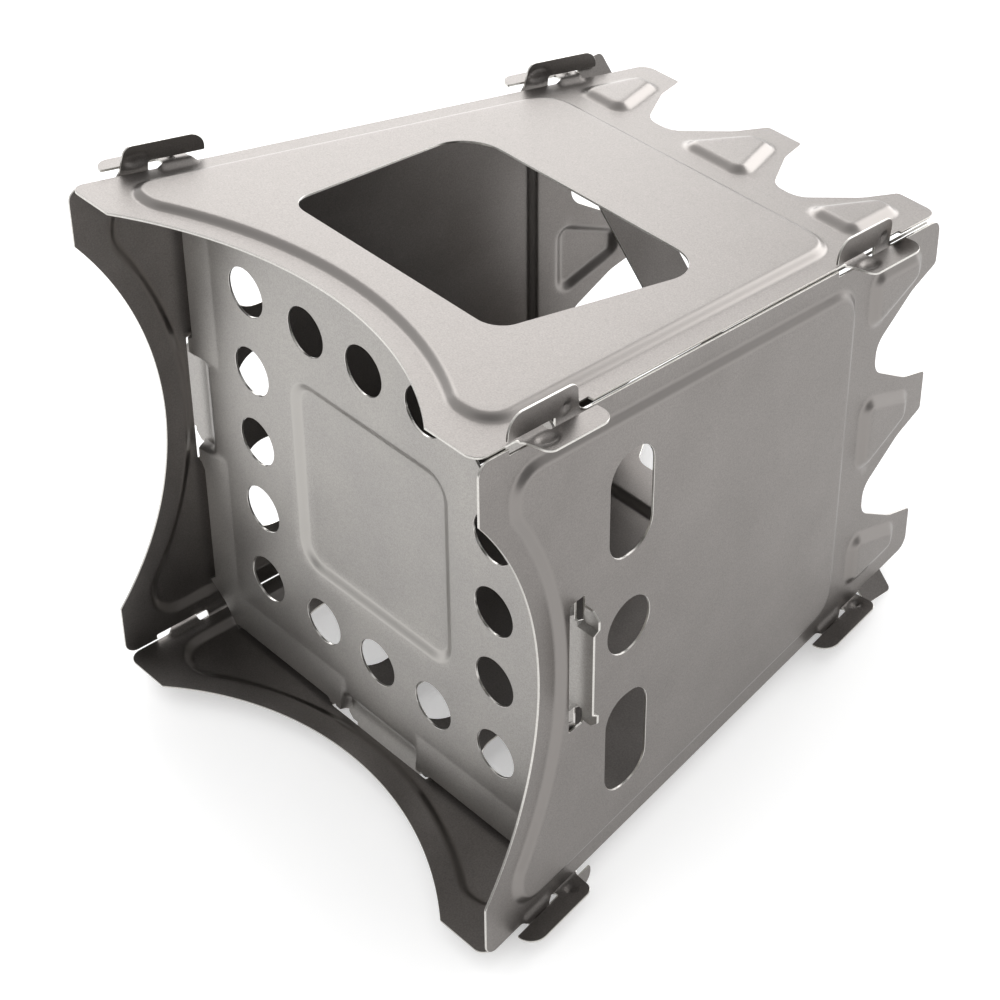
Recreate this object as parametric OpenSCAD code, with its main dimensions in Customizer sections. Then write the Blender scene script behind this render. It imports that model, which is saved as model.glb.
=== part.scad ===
// Folding camping wood stove: four pressed sheet walls hooked together at the corners, with a loose fire grate
// and two loose pot bars that cross between the corners.
// Origin: centre of the square that the feet stand on. +Z up, the fuel window looks along -Y.
// Each wall is drawn flat, seen from outside: x along the ground, y up the slope, z outwards,
// with z = 0 on the wall's inner face. It is then leaned in and turned to its side.

/* [Sheet] */
// Thickness of the titanium sheet
sheet_t = 0.5; // [0.4:0.05:0.7]
// Gap between sheets that turn on each other
hinge_gap = 0.12; // [0.1:0.01:0.14]
// Gap at the front left corner, the corner with the most play
loose_gap = 0.36; // [0.34:0.01:0.4]

/* [Stove] */
// Width across the corners at the feet
base_w = 115; // [110:1:125]
// Length of a wall up its slope, from the feet to the tooth tips
wall_h = 134.5; // [132:0.5:140]
// Angle that each wall leans in, in degrees
wall_lean = 7.1; // [6:0.1:8]

/* [Feet] */
// Width of each foot
foot_w = 12.8; // [11:0.1:15]
// Height of the arch between the feet
arch_h = 15; // [12:0.1:17]
// Rounding of a foot's outer corner
foot_r = 2.6; // [1:0.1:3.5]

/* [Teeth] */
// Depth of the notches between the teeth
notch_h = 18.8; // [15:0.1:19]
// Width of the middle tooth at its tip
tooth_w = 9.2; // [8:0.1:11]
// Width of a corner tooth at its tip
corner_tooth_w = 10.5; // [9:0.1:12]
// How far a notch's shoulders stand in from the tooth tips
shoulder_w = 2.6; // [2:0.1:3.5]
// Height of those shoulders above the notch's floor
shoulder_h = 11; // [10:0.1:12]
// Width of a notch's floor
notch_floor_w = 6.4; // [4:0.1:8]
// Rounding of a notch's floor
notch_floor_r = 4.6; // [3:0.1:5]
// Rounding of a notch's shoulders
shoulder_r = 10; // [6:0.5:12]
// Rounding of a tooth tip beside a notch
tip_r = 1.2; // [0.6:0.1:2]
// Rounding of the outer corner of a corner tooth
tooth_r = 3; // [2:0.1:4]

/* [Pressings] */
// Height of the pressed panel above the sheet
panel_rise = 1.2; // [1:0.05:1.4]
// Distance from a wall's edges to the step round the pressed panel
panel_inset = 6.3; // [6.2:0.1:7]
// Height of the pressed panel's straight foot line
panel_low = 8.6; // [8:0.1:10]
// Distance from the tooth tips down to the pressed panel's upper edge
panel_top_gap = 29.1; // [28.5:0.1:31]
// Rounding of the panel's lower corners
panel_low_r = 4.5; // [3:0.1:6]
// Rounding of the panel's upper corners
panel_high_r = 6; // [4:0.1:8]
// Height of a tooth's pressed bump above the sheet
bump_rise = 1.3; // [1:0.05:1.5]
// Distance from the tooth tips down to the bumps' lower edges
bump_top_gap = 21.7; // [20.5:0.1:22.5]
// Height of a bump
bump_h = 14.8; // [13:0.1:16]
// Width of a bump's lower edge
bump_w = 17; // [15:0.1:18]
// Width of a bump's upper edge
bump_top_w = 5; // [4:0.1:6]
// Rounding of a bump's corners
bump_r = 2.2; // [1.5:0.1:2.4]
// Distance from a wall's edge to the bump of a corner tooth
bump_inset = 6.3; // [6.2:0.1:7]
// Lower width of a corner tooth's bump
side_bump_w = 11.4; // [11:0.1:12]
// Upper width of a corner tooth's bump
side_bump_top_w = 4.6; // [4.5:0.1:5.5]

/* [Fuel window] */
// Height up the front wall of the window's lower edge
window_low = 29.5; // [28:0.1:33]
// Height of the window
window_h = 48.9; // [45:0.1:55]
// Distance from the wall's edges to the window's lower corners
window_low_side = 25.2; // [23:0.1:29]
// Distance from the wall's edges to the window's upper corners
window_high_side = 14.3; // [13:0.1:18]
// Rounding of the lower corners
window_low_r = 5; // [3:0.1:8]
// Rounding of the upper corners
window_high_r = 8.5; // [5:0.1:10]

/* [Vents] */
// Height up the wall of the row of vents
vent_y = 38.5; // [38:0.1:44]
// Height of a vent
vent_h = 12.1; // [11:0.1:13]
// Sheet left between the round vent and a long vent
vent_land = 10.6; // [9:0.1:12]
// Distance from the wall's edges to the ends of the long vents, with the round vent in the middle
vent_side = 13.1; // [11:0.1:15]
// Rounding of a long vent's ends
vent_r = 5.4; // [4:0.1:5.5]

/* [Grate slots] */
// Height up the wall of the slot's lower edge
slot_low = 21.8; // [21.6:0.1:22.1]
// Height of the slot
slot_h = 4.1; // [4:0.1:4.6]
// Length of the slot
slot_l = 30; // [29:0.1:33]

/* [Hooks] */
// How far a hook reaches past the corner
hook_w = 5.5; // [5:0.1:5.6]
// Length of a hook along the corner
hook_l = 17.3; // [16.5:0.1:18]
// Length of the neck that joins a hook to its wall
neck_l = 5.2; // [4:0.1:5.4]
// Height of the lower left hook's end
left_hook_low = 7.7; // [7:0.1:8]
// Distance from the tooth tips down to the upper left hook's end
hook_top_gap = 34.1; // [33.5:0.1:35.5]
// How much higher the right edge's hooks sit
hook_stagger = 4.4; // [4.2:0.1:4.8]
// Rounding of a hook's free end
hook_end_r = 3.8; // [3:0.1:4.5]
// Rounding of a hook's neck end
hook_neck_r = 2; // [1:0.1:3]

/* [Grate] */
// Height of the grate's plate above the ground
grate_z = 22.6; // [22.5:0.1:22.8]
// Gap between the grate's rim and the walls
rim_gap = 0.3; // [0.2:0.05:0.5]
// Width of the sloping rim
rim_w = 9; // [8:0.1:9.5]
// How far the rim's edge hangs below the plate
rim_drop = 1; // [0.8:0.1:1.2]
// Cut across each corner of the grate
rim_cut = 8.8; // [8.6:0.1:10]
// Diameter of the air holes
hole_d = 10.5; // [9:0.1:11]
// Distance from the rim's bend to the middle of the holes
hole_inset = 11.3; // [10.5:0.1:12.5]
// Distance between the three middle holes of a row, as a share of the corner holes' distance from the middle
hole_pitch_share = 0.482; // [0.47:0.001:0.5]
// Sheet left between the holes and the raised middle panel
dish_land = 8; // [6.5:0.1:9.5]
// Rise of the middle panel
dish_rise = 1; // [0.8:0.1:1.2]
// Rounding of the middle panel's corners
dish_r = 5; // [3:0.5:7]
// Width of the flat lane that leads to a tongue
lane_w = 24; // [23:0.5:26]
// Width of a tongue's neck
tongue_w = 20.4; // [20:0.1:21]
// Width of a tongue over its two ears
ear_span = 27; // [26:0.1:28]
// How far a tongue reaches past the wall's pressed panel
tongue_l = 4.2; // [3.5:0.1:4.8]
// Height of the tongue above the plate
tongue_rise = 1.2; // [1.1:0.05:1.3]
// Height of the ears above the tongue
ear_rise = 1.2; // [1:0.05:1.25]
// Cut across an ear's corner
ear_cut = 1.6; // [1:0.1:2]

/* [Pot bars] */
// Height of a pot bar
bar_h = 12.6; // [11:0.1:14]
// Distance from the tooth tips down to the pot bars' upper edges
bar_top_gap = 15.4; // [14.5:0.1:16]
// Width of the riser below each ear
riser_w = 5; // [4:0.5:8]
// Height of an ear above the hooks that it rests on
ear_h = 7.7; // [6:0.1:9]
// How far an ear reaches past the corner
ear_l = 3.6; // [3:0.1:4.5]
// Rounding of an ear's corners
ear_r = 1; // [0.5:0.1:1.5]
// Rounding between a bar's upper edge and its risers
riser_r = 2; // [1:0.5:3]

/* [Hidden] */
$fn = 48;
// steps in a rounded corner and in the long arches
corner_steps = 8;
arch_steps = 36;
// overrun of every cut
over = 1;
sheet_colour = "#a8a49c";
grate_colour = "#9a968e";

// the foot arch is one circle through both feet and its crown
half_arch = base_w / 2 - foot_w;
arch_r = (half_arch * half_arch + arch_h * arch_h) / (2 * arch_h);
arch_y = arch_h - arch_r;
// the blank's feet reach this far past the ground, so that both faces of the leaning sheet can be cut level
foot_low = -sheet_t * tan(wall_lean);
foot_arch_angle = acos((foot_low - arch_y) / arch_r);
// distance from the foot arch to the step round the pressed panel
panel_arch_r = arch_r + panel_inset;
// the panel's arch stops where it meets the panel's straight foot line
panel_half_arch = sqrt(pow(panel_arch_r, 2) - pow(panel_low - arch_y, 2));
panel_arch_angle = asin(panel_half_arch / panel_arch_r);
// distance from a hook's free end to its neck
hook_free_l = hook_l - neck_l;
// slope of a wall's edge inside the wall's own plane
edge_lean = atan(sin(wall_lean));
notch_floor_y = wall_h - notch_h;
// the notches take the width that the teeth leave
notch_w = (2 * edge(wall_h) - tooth_w - 2 * corner_tooth_w) / 2;
notch_pitch = tooth_w + notch_w;
notch_waist_w = notch_w - 2 * shoulder_w;
panel_high = wall_h - panel_top_gap;
bump_low = wall_h - bump_top_gap;
window_low_w = 2 * (edge(window_low) - window_low_side);
window_high_w = 2 * (edge(window_low + window_h) - window_high_side);
// the long vents fill the width between the round vent and the wall's edges
vent_l = edge(vent_y) - vent_side - vent_h / 2 - vent_land;
vent_pitch = vent_h / 2 + vent_land + vent_l / 2;
// the rim reaches into the hollow behind the walls' pressed panels
grate_half = base_w / 2 - grate_z * tan(wall_lean) + panel_rise / cos(wall_lean) - rim_gap;
bend_half = grate_half - rim_w;
hole_row = bend_half - hole_inset;
hole_pitch = hole_row * hole_pitch_share;
dish_w = 2 * (hole_row - hole_d / 2 - dish_land);
// outer face of a pressed panel at the height of the tongues
panel_out = base_w / 2 - (grate_z + tongue_rise) * tan(wall_lean) + (panel_rise + sheet_t) / cos(wall_lean);
ear_start = panel_out + rim_gap;
tongue_end = panel_out + tongue_l;

// height of the upper left hooks' neck ends on the corner line
neck_top = wall_h - hook_top_gap + hook_l * cos(edge_lean);
// the bars' ears rest on those necks, at the corner whose neck lies furthest out and so highest
seat_z = (neck_top + slit_w(true, loose_gap) * sin(edge_lean)) * cos(wall_lean)
    + (2 * sheet_t + loose_gap) * sin(wall_lean) + hinge_gap;
// the bars cross the corners at 45 degrees, so the walls' edges stand back this far beside their ears
ear_room = sqrt(2) * (sheet_t / 2 + hinge_gap);
bar_top = wall_h * cos(wall_lean) - bar_top_gap;
bar_low = bar_top - bar_h;
// a bar stops short of the necks that stand inwards
bar_end = corner_reach(seat_z) - sqrt(2) * (sheet_t + 2 * hinge_gap) - sheet_t / 2;
ear_end = corner_reach(seat_z) + ear_l;

// distance from the stove's middle to a corner at height z above the ground
function corner_reach(z) = sqrt(2) * (base_w / 2 - z * tan(wall_lean));

// half the wall's width at height y up its slope
function edge(y) = base_w / 2 - y * sin(wall_lean);

// points of an arc from angle a to angle b
function arc_points(centre, radius, a, b, steps) =
    [for (i = [0 : steps]) let (t = a + (b - a) * i / steps) centre + radius * [cos(t), sin(t)]];

function unit(v) = v / norm(v);

// one rounded corner: p is the corner, r its radius, q and s the corners beside it
function corner(q, p, s, r) =
    r == 0 ? [p] :
    let (
        u = unit(q - p),
        v = unit(s - p),
        half = acos(u * v) / 2,
        bisector = unit(u + v),
        centre = p + bisector * r / sin(half),
        middle = atan2(-bisector[1], -bisector[0]),
        turn = (u[0] * v[1] - u[1] * v[0] > 0 ? -1 : 1) * (90 - half)
    )
    arc_points(centre, r, middle - turn, middle + turn, corner_steps);

// outline through corners given as [x, y, radius]
function rounded(c) = [
    for (i = [0 : len(c) - 1])
    let (n = len(c), q = c[(i + n - 1) % n], p = c[i], s = c[(i + 1) % n])
    each corner([q[0], q[1]], [p[0], p[1]], [s[0], s[1]], p[2])
];

// a list of [x, y, radius] corners mirrored left to right
function mirrored(c) = [for (p = c) [-p[0], p[1], p[2]]];

function arch_corners(radius, angle) =
    [for (p = arc_points([0, arch_y], radius, 90 + angle, 90 - angle, arch_steps)) [p[0], p[1], 0]];

// corners of a notch centred on x, from one tooth tip down to the floor and up to the next tip
function notch_corners(x) = [
    [x - notch_w / 2, wall_h, tip_r],
    [x - notch_waist_w / 2, notch_floor_y + shoulder_h, shoulder_r],
    [x - notch_floor_w / 2, notch_floor_y, notch_floor_r],
    [x + notch_floor_w / 2, notch_floor_y, notch_floor_r],
    [x + notch_waist_w / 2, notch_floor_y + shoulder_h, shoulder_r],
    [x + notch_w / 2, wall_h, tip_r]
];

// flat blank of a wall, set back from the corner lines by the gaps left and right
module blank(left_gap, right_gap) {
    polygon(rounded(concat(
        [[edge(foot_low) - right_gap, foot_low, foot_r], [edge(wall_h) - right_gap, wall_h, tooth_r]],
        mirrored(notch_corners(-notch_pitch / 2)),
        mirrored(notch_corners(notch_pitch / 2)),
        [[-edge(wall_h) + left_gap, wall_h, tooth_r], [-edge(foot_low) + left_gap, foot_low, foot_r]],
        arch_corners(arch_r, foot_arch_angle)
    )));
}

// outline of the step round the pressed panel, grown by g
module panel_outline(g) {
    low = panel_low - g;
    high = panel_high + g;
    polygon(rounded(concat(
        [
            [edge(low) - panel_inset + g, low, panel_low_r + g],
            [edge(high) - panel_inset + g, high, panel_high_r + g],
            [-edge(high) + panel_inset - g, high, panel_high_r + g],
            [-edge(low) + panel_inset - g, low, panel_low_r + g]
        ],
        arch_corners(panel_arch_r - g, panel_arch_angle)
    )));
}

module middle_bump_outline(g) {
    polygon(rounded([
        [bump_w / 2 + g, bump_low - g, bump_r + g],
        [bump_top_w / 2 + g, bump_low + bump_h + g, bump_r + g],
        [-bump_top_w / 2 - g, bump_low + bump_h + g, bump_r + g],
        [-bump_w / 2 - g, bump_low - g, bump_r + g]
    ]));
}

// bump of the right corner tooth, its outer side beside the wall's edge
module side_bump_outline(g) {
    low = bump_low - g;
    high = bump_low + bump_h + g;
    polygon(rounded([
        [edge(low) - bump_inset + g, low, bump_r + g],
        [edge(high) - bump_inset + g, high, bump_r + g],
        [edge(high) - bump_inset - side_bump_top_w - g, high, bump_r + g],
        [edge(low) - bump_inset - side_bump_w - g, low, bump_r + g]
    ]));
}

module bump_outlines(g) {
    middle_bump_outline(g);
    side_bump_outline(g);
    mirror([1, 0]) side_bump_outline(g);
}

module window_outline() {
    translate([0, window_low]) polygon(rounded([
        [window_low_w / 2, 0, window_low_r],
        [window_high_w / 2, window_h, window_high_r],
        [-window_high_w / 2, window_h, window_high_r],
        [-window_low_w / 2, 0, window_low_r]
    ]));
}

module long_vent_outline() {
    polygon(rounded([
        [vent_l / 2, -vent_h / 2, vent_r],
        [vent_l / 2, vent_h / 2, vent_r],
        [-vent_l / 2, vent_h / 2, vent_r],
        [-vent_l / 2, -vent_h / 2, vent_r]
    ]));
}

module vents_and_slot() {
    translate([0, vent_y, -over]) {
        cylinder(h = panel_rise + sheet_t + 2 * over, d = vent_h);
        for (side = [-1, 1])
            translate([side * vent_pitch, 0, 0])
                linear_extrude(panel_rise + sheet_t + 2 * over) long_vent_outline();
    }
    translate([-slot_l / 2, slot_low, -over]) cube([slot_l, slot_h, panel_rise + sheet_t + 2 * over]);
}

// A hook on the left edge, in its own flat frame: x = 0 on the corner line, y = 0 at its free end.
// It leans with the edge. Its neck is at its upper end. plane is the height of its inner face.
module hook_plate(plane, slit, set_back) {
    translate([0, 0, plane]) linear_extrude(sheet_t) {
        polygon(rounded([
            [-slit, 0, 0],
            [-slit, hook_l, 0],
            [-hook_w, hook_l, hook_neck_r],
            [-hook_w, 0, min(hook_end_r, hook_w - slit - hinge_gap)]
        ]));
        translate([-slit, hook_free_l]) square([slit + set_back + sheet_t, neck_l]);
    }
}

// the upright step that joins the neck to the wall
module hook_riser(plane, set_back) {
    low = min(plane, 0);
    high = max(plane, 0) + sheet_t;
    translate([set_back, hook_free_l, low]) cube([sheet_t, neck_l, high - low]);
}

// gap between a hook's free part and the corner line
function slit_w(outward, gap) = outward ? 2 * sheet_t + 2 * gap : sheet_t + 2 * gap;

// the same gap for an outward hook that a pot bar's ear passes
function ear_slit_w(gap) = 2 * sheet_t + gap + ear_room;

// height of a hook's inner face: past the next wall's outer face, or under its own
function hook_plane(outward, gap) = outward ? sheet_t + gap : -sheet_t - gap;

// room that the next wall's neck needs beside a hook that stands inwards
function relief_w(gap) = 2 * sheet_t + 2 * gap;

// puts children on the left edge at height y, leaning with it
module on_left_edge(y) {
    translate([-edge(y), y, 0]) rotate([0, 0, -edge_lean]) children();
}

module left_hooks(outward, gap, shift) {
    for (low = [left_hook_low, wall_h - hook_top_gap])
        let (beside_ear = outward && shift > 0 && low > left_hook_low)
        on_left_edge(low + shift) flipped_hook(shift > 0) {
            hook_plate(hook_plane(outward, gap), beside_ear ? ear_slit_w(gap) : slit_w(outward, gap), gap);
            hook_riser(hook_plane(outward, gap), gap);
        }
}

// cuts the edge back from the upper hooks' necks to the tooth tips, where the pot bars' ears pass
module left_ear_room() {
    on_left_edge(wall_h - hook_top_gap)
        translate([-over, hook_l, -over]) cube([over + ear_room, hook_top_gap, 2 * over + sheet_t]);
}

// turns a hook end for end, so that its neck is at the lower end
module flipped_hook(upside_down) {
    if (upside_down)
        translate([0, hook_l, 0]) mirror([0, 1, 0]) children();
    else
        children();
}

// cuts the edge back beside hooks that stand inwards, where the next wall's necks pass
module left_reliefs(outward, gap, shift) {
    if (!outward)
        for (low = [left_hook_low, wall_h - hook_top_gap])
            on_left_edge(low + shift) flipped_hook(shift > 0)
                translate([-over, -gap, -over])
                    cube([over + relief_w(gap), hook_free_l + gap, 2 * over + sheet_t]);
}

// One wall with its hooks. left_out and right_out say whether the hooks of that edge stand outwards.
module wall(left_out, right_out, left_gap, right_gap, has_window) {
    color(sheet_colour)
    rotate([90 - wall_lean, 0, 0]) {
        difference() {
            union() {
                linear_extrude(sheet_t) blank(left_gap, right_gap);
                linear_extrude(panel_rise + sheet_t) panel_outline(sheet_t);
                linear_extrude(bump_rise + sheet_t) bump_outlines(sheet_t);
            }
            translate([0, 0, -over]) linear_extrude(panel_rise + over) panel_outline(0);
            translate([0, 0, -over]) linear_extrude(bump_rise + over) bump_outlines(0);
            if (has_window)
                translate([0, 0, -over])
                    linear_extrude(panel_rise + sheet_t + 2 * over) window_outline();
            else
                vents_and_slot();
            left_reliefs(left_out, left_gap, 0);
            mirror([1, 0, 0]) left_reliefs(right_out, right_gap, hook_stagger);
            for (side = [0, 1]) mirror([side, 0, 0]) left_ear_room();
        }
        left_hooks(left_out, left_gap, 0);
        mirror([1, 0, 0]) left_hooks(right_out, right_gap, hook_stagger);
    }
}

// stands a wall on the ground: cuts its feet and its tooth tips level and turns it to its side
module stand(quarter) {
    rotate([0, 0, 90 * quarter])
        intersection() {
            translate([0, -base_w / 2, 0]) children();
            translate([-base_w, -base_w, 0]) cube([2 * base_w, 2 * base_w, wall_h * cos(wall_lean)]);
        }
}

module wall_front() {
    stand(0) wall(true, false, loose_gap, hinge_gap, true);
}

module wall_right() {
    stand(1) wall(false, true, hinge_gap, hinge_gap, false);
}

module wall_back() {
    stand(2) wall(true, false, hinge_gap, hinge_gap, false);
}

module wall_left() {
    stand(3) wall(false, true, hinge_gap, loose_gap, false);
}

// cross-section of the sloping rim, from inside the plate to the rim's outer edge
module rim_profile() {
    polygon([
        [bend_half - over, 0],
        [bend_half, 0],
        [grate_half, -rim_drop],
        [grate_half, sheet_t - rim_drop],
        [bend_half, sheet_t],
        [bend_half - over, sheet_t]
    ]);
}

// plan of the right side's rim, from its lane to the mitre with the next side
module rim_plan() {
    polygon([
        [bend_half - over, -lane_w / 2],
        [grate_half, -lane_w / 2],
        [grate_half, rim_cut - grate_half],
        [grate_half - rim_cut / 2, rim_cut / 2 - grate_half],
        [bend_half - over, over - bend_half]
    ]);
}

module rim_half() {
    intersection() {
        rotate([90, 0, 0]) linear_extrude(grate_half + over) rim_profile();
        translate([0, 0, -rim_drop - over]) linear_extrude(rim_drop + sheet_t + 2 * over) rim_plan();
    }
}

// one tongue, pointing along +X, with its ears raised above its middle
module tongue() {
    lane_end = bend_half + rim_w / 2;
    translate([bend_half - over, -lane_w / 2, 0]) cube([lane_end - bend_half + over, lane_w, sheet_t]);
    translate([lane_end - sheet_t, -tongue_w / 2, 0]) cube([sheet_t, tongue_w, tongue_rise + sheet_t]);
    translate([lane_end - sheet_t, -tongue_w / 2, tongue_rise])
        cube([tongue_end - lane_end + sheet_t, tongue_w, sheet_t]);
    for (side = [0, 1])
        mirror([0, side, 0]) {
            translate([ear_start, tongue_w / 2 - sheet_t, tongue_rise])
                cube([tongue_end - ear_start, sheet_t, ear_rise + sheet_t]);
            translate([0, 0, tongue_rise + ear_rise]) linear_extrude(sheet_t) polygon([
                [ear_start, tongue_w / 2 - sheet_t],
                [tongue_end, tongue_w / 2 - sheet_t],
                [tongue_end, ear_span / 2 - ear_cut],
                [tongue_end - ear_cut, ear_span / 2],
                [ear_start, ear_span / 2]
            ]);
        }
}

module dish_outline(g) {
    half = dish_w / 2 + g;
    polygon(rounded([
        [half, -half, dish_r + g],
        [half, half, dish_r + g],
        [-half, half, dish_r + g],
        [-half, -half, dish_r + g]
    ]));
}

module grate() {
    color(grate_colour)
    translate([0, 0, grate_z]) {
        difference() {
            union() {
                translate([-bend_half, -bend_half, 0]) cube([2 * bend_half, 2 * bend_half, sheet_t]);
                linear_extrude(dish_rise + sheet_t) dish_outline(sheet_t);
            }
            translate([0, 0, -over]) linear_extrude(dish_rise + over) dish_outline(0);
            for (quarter = [0 : 3])
                rotate([0, 0, 90 * quarter])
                    for (step = [-1 : 2])
                        translate([hole_row, step == 2 ? hole_row : step * hole_pitch, -over])
                            cylinder(h = sheet_t + 2 * over, d = hole_d);
        }
        for (quarter = [0 : 3])
            rotate([0, 0, 90 * quarter])
                for (side = [0, 1])
                    mirror([0, side, 0]) rim_half();
        // the front side has no slot, so its lane ends at the wall
        for (quarter = [0 : 2]) rotate([0, 0, 90 * quarter]) tongue();
        translate([-lane_w / 2, -grate_half, 0]) cube([lane_w, rim_w + over, sheet_t]);
    }
}

// one end of a pot bar: x out from the stove's middle, y up from the ground
bar_end_corners = [
    [bar_end, bar_low, 0],
    [bar_end, seat_z, 0],
    [ear_end, seat_z, ear_r],
    [ear_end, seat_z + ear_h, ear_r],
    [bar_end - riser_w, seat_z + ear_h, ear_r],
    [bar_end - riser_w, bar_top, riser_r]
];

// A bar across two corners, turned to the angle of its diagonal. The two bars hang in each other by a slot
// that takes half of the height, from the lower edge of one and the upper edge of the other.
module pot_bar(angle, lap_below) {
    lap_w = sheet_t + 2 * hinge_gap;
    lap_h = bar_h / 2 + hinge_gap;
    color(sheet_colour)
    rotate([90, 0, angle])
        translate([0, 0, -sheet_t / 2]) linear_extrude(sheet_t) difference() {
            polygon(rounded(concat(
                bar_end_corners,
                [for (i = [len(bar_end_corners) - 1 : -1 : 0])
                    let (c = bar_end_corners[i]) [-c[0], c[1], c[2]]]
            )));
            translate([-lap_w / 2, lap_below ? bar_low - over : bar_top - lap_h])
                square([lap_w, lap_h + over]);
        }
}

module pot_bar_over() {
    pot_bar(45, true);
}

module pot_bar_under() {
    pot_bar(-45, false);
}

wall_front();
wall_right();
wall_back();
wall_left();
grate();
pot_bar_over();
pot_bar_under();
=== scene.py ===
"""Folding camping wood stove: seven pieces of bead-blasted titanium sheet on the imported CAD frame.

Each piece is one pressed sheet. Its plan is a set of closed loops in millimetres, its height over that plan
is a function of x and y, and its two faces lie the sheet's thickness apart with a sheared edge between them.
"""
import math

import bpy
import numpy as np
from mathutils import Matrix, Vector
from mathutils.geometry import delaunay_2d_cdt


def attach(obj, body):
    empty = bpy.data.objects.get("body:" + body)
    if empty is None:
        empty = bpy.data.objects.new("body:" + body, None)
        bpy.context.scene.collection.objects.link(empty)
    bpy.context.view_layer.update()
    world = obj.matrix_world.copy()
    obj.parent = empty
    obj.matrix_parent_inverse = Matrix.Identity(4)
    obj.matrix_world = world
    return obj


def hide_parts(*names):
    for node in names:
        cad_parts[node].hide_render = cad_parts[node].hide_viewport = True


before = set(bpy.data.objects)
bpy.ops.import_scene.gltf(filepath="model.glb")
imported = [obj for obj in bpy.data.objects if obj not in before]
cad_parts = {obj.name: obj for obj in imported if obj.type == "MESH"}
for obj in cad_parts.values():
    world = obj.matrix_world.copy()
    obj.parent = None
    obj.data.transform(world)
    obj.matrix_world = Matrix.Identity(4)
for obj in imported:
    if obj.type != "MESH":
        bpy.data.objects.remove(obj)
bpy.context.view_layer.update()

MM = 0.001

# sheet, in millimetres, as in the CAD source
SHEET_T = 0.5
HINGE_GAP = 0.12
LOOSE_GAP = 0.36
EDGE_BREAK = 0.07

# stove
BASE_W = 115.0
WALL_H = 134.5
LEAN = math.radians(7.1)
EDGE_LEAN = math.atan(math.sin(LEAN))

# feet and teeth
FOOT_W, ARCH_H, FOOT_R = 12.8, 15.0, 2.6
NOTCH_H, NOTCH_PITCH, NOTCH_W = 18.8, 35.0, 25.8
NOTCH_WAIST_W, NOTCH_WAIST_H, NOTCH_FLOOR_W = 20.6, 11.0, 6.4
NOTCH_FLOOR_R, NOTCH_WAIST_R, TIP_R, TOOTH_R = 4.6, 10.0, 1.2, 3.0

# pressings: each outline is the middle of its slope
PANEL_RISE, PANEL_INSET, PANEL_LOW, PANEL_HIGH = 1.2, 5.3, 8.2, 105.85
PANEL_LOW_R, PANEL_HIGH_R, PANEL_SLOPE, PANEL_BEND = 4.95, 6.45, 1.6, 0.4
BUMP_RISE, BUMP_LOW, BUMP_H, BUMP_W, BUMP_TOP_W = 1.3, 112.8, 14.8, 17.0, 5.0
BUMP_R, BUMP_INSET, SIDE_BUMP_W, SIDE_BUMP_TOP_W, BUMP_SLOPE = 2.2, 6.0, 11.8, 4.6, 2.0
SOFT_BEND = 0.6

# openings
WINDOW_LOW, WINDOW_H, WINDOW_LOW_W, WINDOW_HIGH_W = 29.5, 48.9, 57.3, 67.0
WINDOW_LOW_R, WINDOW_HIGH_R = 5.0, 8.5
VENT_Y, VENT_H, VENT_L, VENT_PITCH, VENT_R = 38.5, 12.1, 23.0, 28.15, 5.4
SLOT_LOW, SLOT_H, SLOT_L, SLOT_R = 21.8, 4.1, 30.0, 0.4

# hooks
HOOK_W, HOOK_L, NECK_L, HOOK_STAGGER = 5.5, 17.3, 5.2, 4.4
HOOK_LOWS = (7.7, 100.4)
HOOK_END_R, HOOK_NECK_R, HOOK_FLARE, HOOK_FLARE_R = 3.5, 2.0, 1.0, 1.4
SLIT_R, SMALL_R = 0.5, 0.3
# the jog beside a neck: how far it reaches into the wall, and the length of its soft and of its tight ends
JOG_W, JOG_SOFT, JOG_TIGHT = 2.4, 1.4, 0.6
# dimples beside the necks: how far out, half width and half length, round on one hook and oval on the other
ROUND_DIMPLE, OVAL_DIMPLE, DIMPLE_DEPTH = (1.9, 0.75, 0.75), (2.4, 1.1, 2.0), 0.5

# grate
GRATE_Z, GRATE_HALF, GRATE_BEND, RIM_DROP, RIM_CUT = 22.6, 55.59, 46.6, 1.0, 8.8
RIM_R, BEND_R, HOLE_D, HOLE_ROW, HOLE_PITCH = 0.4, 0.8, 10.5, 35.3, 17.0
DISH_W, DISH_RISE, DISH_R, DISH_SLOPE = 44.0, 1.0, 5.0, 2.0
# tongues: a level lane curls up from CURL_START over CURL_W, and two ears stand up on the tongue's end
LANE_W, LANE_SOFT, CURL_START, CURL_W = 24.0, 1.6, 50.2, 2.6
TONGUE_W, TONGUE_END, TONGUE_RISE = 20.4, 60.45, 1.2
EAR_SPAN, EAR_START, EAR_RISE, EAR_CUT, EAR_ROOT_R, EAR_R = 27.0, 56.55, 1.2, 1.6, 0.2, 0.5
# where an ear's step starts and how wide it is, across the tongue from its edge and along it from the middle
EAR_STEP_ACROSS, EAR_STEP_ALONG = (-0.9, 0.7), (56.0, 0.5)

# pot bars: distances from the stove's middle along a diagonal, and heights above the ground
BAR_LOW, BAR_TOP, BAR_END = 105.47, 118.07, 59.38
SEAT_Z, BAR_EAR_TOP, BAR_EAR_END, BAR_EAR_R = 117.17, 124.87, 64.28, 1.0
RISER_W, RISER_R = 5.0, 2.0
LAP_W, LAP_H = SHEET_T + 2 * HINGE_GAP, 6.42
# how far the walls' edges stand back where the ears pass at 45 degrees
EAR_ROOM = math.sqrt(2) * (SHEET_T / 2 + HINGE_GAP)

# mesh: longest side of a loop, plain grid, how far grid points keep from the lines, and the finer grids
LOOP_STEP, GRID_STEP, LINE_ROOM = 0.8, 2.2, 0.35
HOOK_STEP, BUMP_STEP, TONGUE_STEP, RIM_STEP = 0.55, 0.7, 0.45, 0.6
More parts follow.
